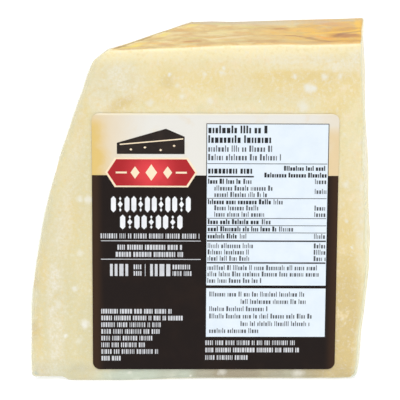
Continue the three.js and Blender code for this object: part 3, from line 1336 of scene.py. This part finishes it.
@dataclass(frozen=True)
class ParchmentFinish:
    """The label's head: greyish cream, washed with yellow at the left and buff at the right."""

    cream: Colour = paint(227, 225, 218)
    buff: Colour = paint(225, 201, 157)
    yellow: Colour = paint(222, 188, 95)
    # A painted highlight along the label's top edge.
    rim: Colour = paint(244, 234, 206)

    def material(self, placing: Placing, shape: PieceShape) -> bpy.types.Material:
        """Builds the material.

        Args:
            placing: where the drawing frame lies.
            shape: the piece's outline, for the label's edges.

        Returns:
            The material.
        """
        recipe = Recipe("parchment")
        left = (shape.label_centre[0] - shape.label_size[0] / 2 + placing.origin[0]) * MM
        right = left + shape.label_size[0] * MM
        top = (shape.label_centre[1] + shape.label_size[1] / 2 + placing.origin[2]) * MM
        wash = recipe.noise(9, detail=5, rough=0.6, warp=0.8)
        drift = recipe.times(recipe.maths("SUBTRACT", wash, 0.5), 11 * MM)
        across = recipe.maths("ADD", recipe.axis(0), drift)
        at_left = recipe.ramp(across, left + 8 * MM, left + 0.5 * MM)
        wide_left = recipe.ramp(across, left + 21 * MM, left + 2 * MM, 0.7)
        down = recipe.maths("MAXIMUM", recipe.ramp(recipe.axis(2), top - 1 * MM, top - 9 * MM), 0.35)
        at_right = recipe.ramp(across, right - 12 * MM, right - 2 * MM)
        colour = recipe.mix(recipe.ramp(wash, 0.5, 0.8, 0.4), self.cream, self.buff)
        colour = recipe.mix(wide_left, colour, self.buff)
        colour = recipe.mix(recipe.times(at_right, down), colour, self.buff)
        below_top = recipe.ramp(recipe.axis(2), top + 1 * MM, top - 5 * MM, 0.85)
        colour = recipe.mix(recipe.times(at_left, below_top), colour, self.yellow)
        # A painted highlight just inside the top edge, where the sheet's edge catches the light.
        edge = recipe.ramp(recipe.axis(2), top - 0.7 * MM, top - 0.3 * MM, 0.7)
        colour = recipe.mix(edge, colour, self.rim)
        recipe.set(Base_Color=colour, Roughness=0.45, Normal=recipe.tooth())
        return recipe.material


@dataclass(frozen=True)
class DarkFieldFinish:
    """The label's near-black field, browner towards its left and right edges."""

    dark: Colour = paint(30, 22, 20)
    brown: Colour = paint(57, 39, 27)

    def material(self, placing: Placing, shape: PieceShape) -> bpy.types.Material:
        """Builds the material.

        Args:
            placing: where the drawing frame lies.
            shape: the piece's outline, for the label's edges.

        Returns:
            The material.
        """
        recipe = Recipe("dark_field")
        middle = (shape.label_centre[0] + placing.origin[0]) * MM
        half = shape.label_size[0] / 2 * MM
        away = recipe.maths("ABSOLUTE", recipe.maths("SUBTRACT", recipe.axis(0), middle), 0.0)
        edge = recipe.ramp(away, half - 4.2 * MM, half - 0.5 * MM)
        cloud = recipe.ramp(recipe.noise(8, detail=4), 0.4, 0.75, 0.15)
        colour = recipe.mix(recipe.maths("MAXIMUM", edge, cloud), self.dark, self.brown)
        recipe.set(Base_Color=colour, Roughness=0.4, Specular_IOR_Level=0.1,
                   Normal=recipe.tooth())
        return recipe.material


@dataclass(frozen=True)
class RedFinish:
    """The plaque's red, lighter at its middle."""

    deep: Colour = paint(172, 36, 42)
    bright: Colour = paint(228, 69, 76)
    reach: float = 13.0

    def material(self, place: np.ndarray) -> bpy.types.Material:
        """Builds the material.

        Args:
            place: the plaque's middle, in metres.

        Returns:
            The material.
        """
        recipe = Recipe("plaque_red")
        away = recipe.vector("DISTANCE", recipe.place, place.tolist())
        wobble = recipe.times(recipe.noise(3, detail=3), 3 * MM)
        reach = self.reach * MM
        near = recipe.ramp(recipe.maths("ADD", away, wobble), reach, 0.1 * reach)
        recipe.set(Base_Color=recipe.mix(near, self.deep, self.bright), Roughness=0.4,
                   Specular_IOR_Level=0.15)
        return recipe.material


class Weight(Enum):
    """How wide the blocks of a line are, and the gap between them, as shares of its height."""

    BOLD = ((0.22, 0.32, 0.38, 0.44), 0.15)
    REGULAR = ((0.14, 0.22, 0.28, 0.34), 0.19)


class Setting(Enum):
    """How high a line's blocks are, as a share of its height."""

    CAPITALS = 1.0
    MIXED = 0.7


@dataclass(frozen=True)
class Line:
    """A line of plain blocks in the place of a line of print."""

    left: float
    right: float
    top: float
    height: float
    weight: Weight = Weight.REGULAR
    setting: Setting = Setting.MIXED
    slim_chance: float = 0.2
    tall_chance: float = 0.6
    group_gap: float = 0.3
    first_group: tuple[int, int] = (4, 9)
    next_groups: tuple[int, int] = (2, 9)

    def blocks(self, draw: random.Random) -> Iterator[list[Point2]]:
        """The blocks along the line, in word-like groups that each may start with a tall one.

        Args:
            draw: the seeded draw for their widths.

        Yields:
            The outline of each block.
        """
        widths, gap = self.weight.value
        bottom = self.top + self.height
        low = bottom - self.setting.value * self.height
        u, left_in_group, first = self.left, draw.randint(*self.first_group), True
        while u < self.right - widths[0] * self.height:
            wide = self.height * draw.choice(widths)
            slim = draw.random() < self.slim_chance
            tall = slim or first and draw.random() < self.tall_chance
            end = min(u + (widths[0] * self.height if slim else wide), self.right)
            yield Outline.box(u, self.top if tall else low, end, bottom)
            left_in_group -= 1
            first = left_in_group == 0
            u = end + gap * self.height
            if first:
                left_in_group = draw.randint(*self.next_groups)
                u += self.group_gap * self.height


@dataclass(frozen=True)
class Band:
    """A row of tall pointed staves, in pairs between small diamonds."""

    left: float
    right: float
    top: float
    height: float
    staves: int
    stave_share: float = 0.72
    tip_share: float = 0.16
    middle_diamond: float = 0.22
    end_diamond: float = 0.12

    def shapes(self) -> list[list[Point2]]:
        """The outlines of the staves and the diamonds."""
        pitch = (self.right - self.left) / self.staves
        wide, tip = self.stave_share * pitch, self.tip_share * self.height
        middle, bottom = self.top + self.height / 2, self.top + self.height
        shapes = []
        for number in range(self.staves):
            centre = self.left + (number + 0.5) * pitch
            start, end = centre - wide / 2, centre + wide / 2
            if number % 3 == 1:
                small = self.end_diamond * self.height
                large = self.middle_diamond * self.height
                shapes.append(Outline.lozenge(centre, middle, wide / 2, large))
                shapes.append(Outline.lozenge(centre, self.top + tip, wide / 4, small))
                shapes.append(Outline.lozenge(centre, bottom - tip, wide / 4, small))
                continue
            shapes.append([(start, self.top + tip), (centre, self.top), (end, self.top + tip),
                           (end, bottom - tip), (centre, bottom), (start, bottom - tip)])
        return shapes


@dataclass
class PrintLayout:
    """Where the print lies on the label, in millimetres from its top left corner."""

    head_depth: float = 21.8
    corner: float = 2.6
    table: Box = (39.2, 3.45, 81.2, 61.8)
    contents: Box = (39.2, 62.3, 81.2, 80.8)
    panel_border: float = 0.28
    plaque: Box = (4.6, 15.6, 36.2, 26.0)
    plaque_point: float = 3.2
    plaque_hem: Point2 = (0.75, 0.55)
    face_point: float = 3.0
    lozenge: Point2 = (2.0, 2.9)
    lozenge_shrinks: Point2 = (0.45, 0.7)
    lozenge_pitch: float = 5.6
    bar: Point2 = (1.9, 0.32)
    bar_out: float = 10.3
    wedge: tuple[Point2, ...] = ((8.6, 10.4), (25.4, 5.4), (31.8, 8.2), (31.8, 14.3), (8.6, 14.3))
    wedge_line: tuple[Point2, ...] = ((9.6, 10.75), (31.3, 8.75), (31.3, 9.15), (9.6, 11.15))
    speck: Point2 = (0.5, 0.42)
    specks: tuple[Point2, ...] = ((13.4, 12.7), (18.2, 12.0), (23.6, 12.9), (28.2, 11.4))
    thin_rule: float = 0.2
    thick_rule: float = 0.5
    seed: int = 5

    def title(self) -> list[list[Point2]]:
        """The two ornamental bands on the dark field."""
        upper = Band(6.2, 34.3, 29.2, 5.9, 12)
        lower = Band(9.3, 31.5, 35.9, 5.3, 9)
        return upper.shapes() + lower.shapes()

    def notes(self) -> list[Line]:
        """The small lines between the rules under the title, and the row of large figures."""
        bold = (Weight.BOLD, Setting.CAPITALS)
        plain = (Weight.REGULAR, Setting.CAPITALS)
        return [
            Line(2.9, 37.6, 42.7, 1.8, *plain),
            Line(8.7, 31.1, 46.8, 1.8, *bold),
            Line(8.1, 31.7, 49.4, 1.8, *bold),
            Line(6.1, 13.8, 53.8, 4.4, *bold),
            Line(14.3, 17.0, 54.0, 1.7, *plain),
            Line(14.3, 17.0, 56.4, 1.7, *plain),
            Line(20.0, 27.3, 53.8, 4.4, *bold),
            Line(27.8, 34.5, 54.0, 1.7, *plain),
            Line(27.8, 34.5, 56.4, 1.7, *plain),
        ]

    def imprint(self) -> list[Line]:
        """The small lines at the foot of the dark field."""
        ends = (27.5, 31.7, 23.7, 23.6, 20.8, 18.3, 23.3, 9.7)
        bold = (0, 1, 7)
        bold_line = (Weight.BOLD, Setting.CAPITALS)
        plain_line = (Weight.REGULAR, Setting.CAPITALS)
        left_column = [
            Line(3.0, end, 70.3 + 2.48 * row, 1.7, *(bold_line if row in bold else plain_line))
            for row, end in enumerate(ends)
        ]
        return left_column + [
            Line(39.3, 70.7, 81.9, 1.7, *plain_line),
            Line(39.3, 72.2, 84.6, 1.7, *bold_line),
            Line(39.3, 54.3, 87.4, 1.7, *plain_line),
        ]

    def field_rules(self) -> list[list[Point2]]:
        """The thin rules on the dark field."""
        return [
            Outline.box(3.0, 45.25, 37.5, 45.5),
            Outline.box(3.0, 51.95, 37.5, 52.2),
            Outline.box(18.2, 53.8, 18.4, 58.2),
        ]

    def table_heads(self) -> list[Line]:
        """The bold lines of the upper panel."""
        rows = (
            (39.9, 60.4, 4.2, 2.7), (39.9, 61.6, 7.6, 2.7), (39.9, 55.6, 18.6, 2.5),
            (65.9, 80.5, 18.3, 1.7), (59.2, 80.6, 20.7, 1.7), (39.9, 51.0, 22.9, 1.8),
            (39.9, 61.5, 30.2, 1.8), (39.9, 57.5, 37.4, 1.8), (39.9, 63.5, 40.0, 1.8),
            (39.9, 50.0, 42.6, 1.8),
        )
        return [Line(*row, Weight.BOLD) for row in rows]

    def table_rows(self) -> list[Line]:
        """The regular lines of both panels."""
        starts_and_ends = (
            (39.9, 62.2, 11.2, 2.2), (39.9, 65.2, 14.2, 2.2),
            (52.0, 55.0, 22.9, 1.8), (42.1, 62.7, 25.3, 1.8), (42.1, 60.6, 27.6, 1.8),
            (62.5, 65.6, 30.2, 1.8), (42.1, 57.2, 32.4, 1.8), (42.1, 59.7, 34.7, 1.8),
            (58.5, 61.9, 37.4, 1.8), (64.5, 69.3, 40.0, 1.8), (51.0, 54.2, 42.6, 1.8),
            (39.9, 55.5, 46.1, 1.8), (39.9, 54.2, 48.4, 1.8), (39.9, 54.8, 50.7, 1.8),
            (39.9, 78.0, 54.1, 1.8), (39.9, 78.6, 56.4, 1.8), (39.9, 58.5, 58.8, 1.8),
            (40.6, 74.0, 63.8, 1.8), (51.5, 74.5, 66.5, 1.8), (40.6, 61.0, 69.2, 1.8),
            (40.6, 76.5, 71.9, 1.8), (51.5, 75.5, 74.7, 1.8), (40.6, 58.0, 77.3, 1.8),
        )
        shares = (22.9, 26.4, 32.4, 34.7, 42.6, 46.1, 48.4, 50.7)
        rows = [Line(*row) for row in starts_and_ends]
        return rows + [Line(76.6, 80.7, top, 1.8) for top in shares]

    def table_rules(self) -> list[list[Point2]]:
        """The thin and thick rules of the upper panel."""
        thin = [(39.6, 17.5, 80.7), (39.6, 29.8, 80.7), (39.6, 37.0, 80.7), (39.6, 39.6, 80.7),
                (39.6, 42.2, 80.7)]
        thick = [(39.9, 21.9, 55.6), (39.6, 45.05, 80.7), (39.6, 53.0, 80.7)]
        return [
            Outline.box(left, top, right, top + width)
            for rules, width in ((thin, self.thin_rule), (thick, self.thick_rule))
            for left, top, right in rules
        ]

    @property
    def plaque_middle(self) -> Point2:
        """The middle of the plaque."""
        left, top, right, bottom = self.plaque
        return (left + right) / 2, (top + bottom) / 2

    def plaque_face(self) -> list[Point2]:
        """The red face inside the plaque's cream rim."""
        left, top, right, bottom = self.plaque
        side, end = self.plaque_hem
        return Outline.ribbon(left + side, top + end, right - side, bottom - end, self.face_point)

    def plaque_marks(self) -> list[list[Point2]]:
        """Three lozenges, the middle one largest, between two short bars."""
        u, v = self.plaque_middle
        wide, high = self.lozenge
        narrower, lower = self.lozenge_shrinks
        lozenges = [
            Outline.lozenge(u + step * self.lozenge_pitch, v, wide - narrower * abs(step),
                            high - lower * abs(step))
            for step in (-1, 0, 1)
        ]
        long, thick = self.bar
        bars = [
            Outline.box(at - long, v - thick, at + long, v + thick)
            for at in (u - self.bar_out, u + self.bar_out)
        ]
        return lozenges + bars

    def wedge_marks(self) -> list[Sequence[Point2]]:
        """The line along the wedge's top and the specks on its side."""
        return [self.wedge_line] + [Outline.lozenge(u, v, *self.speck) for u, v in self.specks]

    def blocks(self, lines: Sequence[Line]) -> list[list[Point2]]:
        """The blocks of several lines, drawn the same way each time."""
        draw = random.Random(self.seed)
        return [block for line in lines for block in line.blocks(draw)]


@dataclass
class Label:
    """The printed label: its sheet, its fields of colour, its panels and its small shapes."""

    shape: PieceShape
    placing: Placing
    layout: PrintLayout = field(default_factory=PrintLayout)
    hem: float = 0.35

    def build(self) -> list[bpy.types.Object]:
        """Builds the label from the sheet outwards."""
        place = LabelFrame(self.shape, self.placing)
        return self.sheet(place) + self.panels(place) + self.marks(place) + self.badge(place)

    def sheet(self, place: LabelFrame) -> list[bpy.types.Object]:
        """The sheet with its cream head, and the dark field on it."""
        width, height = self.shape.label_size
        height += self.hem
        corner = self.layout.corner
        whole = Outline.rounded(0, 0, width, height, (corner,) * 4)
        dark = Outline.rounded(0, self.layout.head_depth, width, height, (0, 0, corner, corner))
        paper = ParchmentFinish().material(self.placing, self.shape)
        sheet = place.print("label_sheet", [whole], Layer.STUCK, Layer.SHEET, paper)
        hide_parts("label")
        ink = DarkFieldFinish().material(self.placing, self.shape)
        return [sheet, place.print("label_dark_field", [dark], Layer.SHEET, Layer.FIELD, ink)]

    def panels(self, place: LabelFrame) -> list[bpy.types.Object]:
        """The two white panels, each with a thin dark border."""
        layout = self.layout
        rim = layout.panel_border
        table = Outline.box(*layout.table)
        inner = [
            Outline.box(left + rim, top + rim, right - rim, bottom - rim)
            for left, top, right, bottom in (layout.table, layout.contents)
        ]
        border = Ink("panel_border", paint(70, 66, 66), paint(90, 86, 84))
        white = Ink("panel_white", paint(227, 237, 246), paint(222, 233, 243), roughness=0.36)
        return [
            place.print("panel_border", [table], Layer.SHEET, Layer.FIELD, border.material()),
            place.print("panels", inner, Layer.FIELD, Layer.PANEL, white.material()),
        ]

    def marks(self, place: LabelFrame) -> list[bpy.types.Object]:
        """The rows of small blocks and the rules, dark on the panels and pale on the field."""
        layout = self.layout
        bold = Ink("print_bold", paint(34, 36, 40), paint(46, 48, 52))
        plain = Ink("print_plain", paint(76, 79, 84), paint(88, 91, 96))
        white = Ink("print_white", paint(238, 240, 244), paint(226, 228, 232))
        dim = Ink("print_pale", paint(211, 213, 218), paint(197, 199, 204))
        on_panel = (Layer.PANEL, Layer.MARK)
        on_field = (Layer.FIELD, Layer.PANEL)
        small_lines = layout.notes() + layout.imprint()
        prints = (
            ("table_heads", layout.blocks(layout.table_heads()), on_panel, bold),
            ("table_rows", layout.blocks(layout.table_rows()), on_panel, plain),
            ("table_rules", layout.table_rules(), on_panel, bold),
            ("title_bands", layout.title(), on_field, white),
            ("field_rows", layout.blocks(small_lines), on_field, dim),
            ("field_rules", layout.field_rules(), on_field, dim),
        )
        return [place.print(name, shapes, *layers, ink.material())
                for name, shapes, layers, ink in prints]

    def badge(self, place: LabelFrame) -> list[bpy.types.Object]:
        """A plain red plaque with lozenges, under a small dark wedge of cheese."""
        layout = self.layout
        cream = Ink("plaque_cream", paint(247, 228, 198), paint(243, 222, 190))
        dark = Ink("wedge_dark", paint(36, 28, 25), paint(46, 36, 31))
        middle = self.placing.metres(place.points([layout.plaque_middle], Layer.MARK.value))[0]
        red = RedFinish().material(middle)
        rim = Outline.ribbon(*layout.plaque, layout.plaque_point)
        prints = (
            ("plaque_rim", [rim], Layer.SHEET, Layer.PANEL, cream.material()),
            ("plaque_face", [layout.plaque_face()], Layer.PANEL, Layer.MARK, red),
            ("plaque_marks", layout.plaque_marks(), Layer.MARK, Layer.TOP, cream.material()),
            ("wedge", [layout.wedge], Layer.SHEET, Layer.FIELD, dark.material()),
            ("wedge_marks", layout.wedge_marks(), Layer.FIELD, Layer.PANEL, cream.material()),
        )
        return [place.print(*row) for row in prints]


@dataclass(frozen=True)
class Lamp:
    """A square soft light: where it stands and its side, in metres, and its power in watts."""

    name: str
    place: tuple[float, float, float]
    power: float
    side: float = 0.7


@dataclass
class Studio:
    """A pale floor, soft light and the camera at the photograph's viewing angle."""

    placing: Placing
    elevation: float = 16.5
    distance: float = 860.0
    aim_height: float = 66.25
    pixel: float = 0.345
    frame_pixels: int = 400
    sensor: float = 36.0
    floor_side: float = 4.0
    floor_glow: float = 0.62
    sky: float = 0.47
    diffuser: float = 60.0
    overhead: tuple[float, float, float] = (-0.04, -0.36, 1.25)
    overhead_power: float = 2.5
    lamps: tuple[Lamp, ...] = (
        Lamp("fill", (0.5, -0.9, 0.6), 0.4),
        Lamp("right_fill", (1.0, 0.0, 0.55), 0.7),
        Lamp("back_fill", (-0.4, 1.0, 0.6), 0.9),
    )
    lit_height: float = 0.06

    def build(self) -> None:
        """Sets the stage, the lights and the camera."""
        scene = bpy.context.scene
        scene.view_settings.view_transform = "Standard"
        self.floor()
        self.sky_light()
        self.sun()
        for lamp in self.lamps:
            self.hang(lamp)
        self.camera(scene)

    def camera(self, scene: bpy.types.Scene) -> None:
        """Places the camera so that a pixel at its aim covers the measured size."""
        data = bpy.data.cameras.new("camera")
        data.sensor_width = self.sensor
        data.lens = self.sensor * self.distance / self.pixel / self.frame_pixels
        camera = bpy.data.objects.new("camera", data)
        tilt = math.radians(self.elevation)
        aim = Vector(self.placing.metres(np.array([0.0, 0.0, self.aim_height])))
        back = Vector((0.0, -math.cos(tilt), math.sin(tilt)))
        camera.location = aim + back * self.distance * MM
        camera.rotation_euler = (math.radians(90) - tilt, 0.0, 0.0)
        scene.collection.objects.link(camera)
        scene.camera = camera

    def floor(self) -> None:
        """A wide pale floor with a faint unevenness."""
        half = self.floor_side / 2
        mesh = bpy.data.meshes.new("floor")
        corners = [(-half, -half, 0), (half, -half, 0), (half, half, 0), (-half, half, 0)]
        mesh.from_pydata(corners, [], [(0, 1, 2, 3)])
        floor = bpy.data.objects.new("floor", mesh)
        bpy.context.scene.collection.objects.link(floor)
        recipe = Recipe("pale_floor")
        cloud = recipe.noise(90, detail=3)
        colour = recipe.mix(recipe.ramp(cloud, 0.3, 0.7), paint(186, 186, 186), paint(184, 184, 184))
        recipe.set(Base_Color=colour, Roughness=0.9, Specular_IOR_Level=0.1,
                   Emission_Color=paint(255, 255, 255), Emission_Strength=self.floor_glow)
        mesh.materials.append(recipe.material)
        floor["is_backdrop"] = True

    def sky_light(self) -> None:
        """An even white surround."""
        world = bpy.data.worlds.new("surround")
        world.use_nodes = True
        background = world.node_tree.nodes["Background"]
        background.inputs["Color"].default_value = (1.0, 1.0, 1.0, 1.0)
        background.inputs["Strength"].default_value = self.sky
        bpy.context.scene.world = world

    def sun(self) -> None:
        """A distant light, as wide and soft as a large diffuser overhead."""
        data = bpy.data.lights.new("overhead", "SUN")
        data.energy = self.overhead_power
        data.angle = math.radians(self.diffuser)
        self.aimed("overhead", data, self.overhead)

    def hang(self, lamp: Lamp) -> None:
        """Makes one square soft light, turned to the piece."""
        data = bpy.data.lights.new(lamp.name, "AREA")
        data.size = lamp.side
        data.energy = lamp.power
        self.aimed(lamp.name, data, lamp.place)

    def aimed(self, name: str, data: bpy.types.Light, place: tuple[float, float, float]) -> None:
        """Hangs a light at a place, turned to the middle of the piece."""
        light = bpy.data.objects.new(name, data)
        light.location = place
        towards = Vector((0.0, 0.0, self.lit_height)) - Vector(place)
        light.rotation_euler = towards.to_track_quat("-Z", "Y").to_euler()
        bpy.context.scene.collection.objects.link(light)


def write_sizes() -> None:
    """Works out the solids' box and the dressed piece's box as plain lists."""
    boxes = {"cad": cad_box, "visual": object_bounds()}
    plain = {name: [list(map(float, corner)) for corner in box] for name, box in boxes.items()}


def main() -> None:
    """Builds the piece from the inside out, and then the studio round it."""
    logging.basicConfig(level=logging.INFO, format="%(message)s")
    shape = PieceShape()
    placing = Placing.of_label(shape.label_centre, shape.label_front)
    Studio(placing).build()
    CheeseBlock(shape, placing).build()
    FilmSkin(shape, placing).build()
    Label(shape, placing).build()
    write_sizes()


if __name__ == "__main__":
    main()
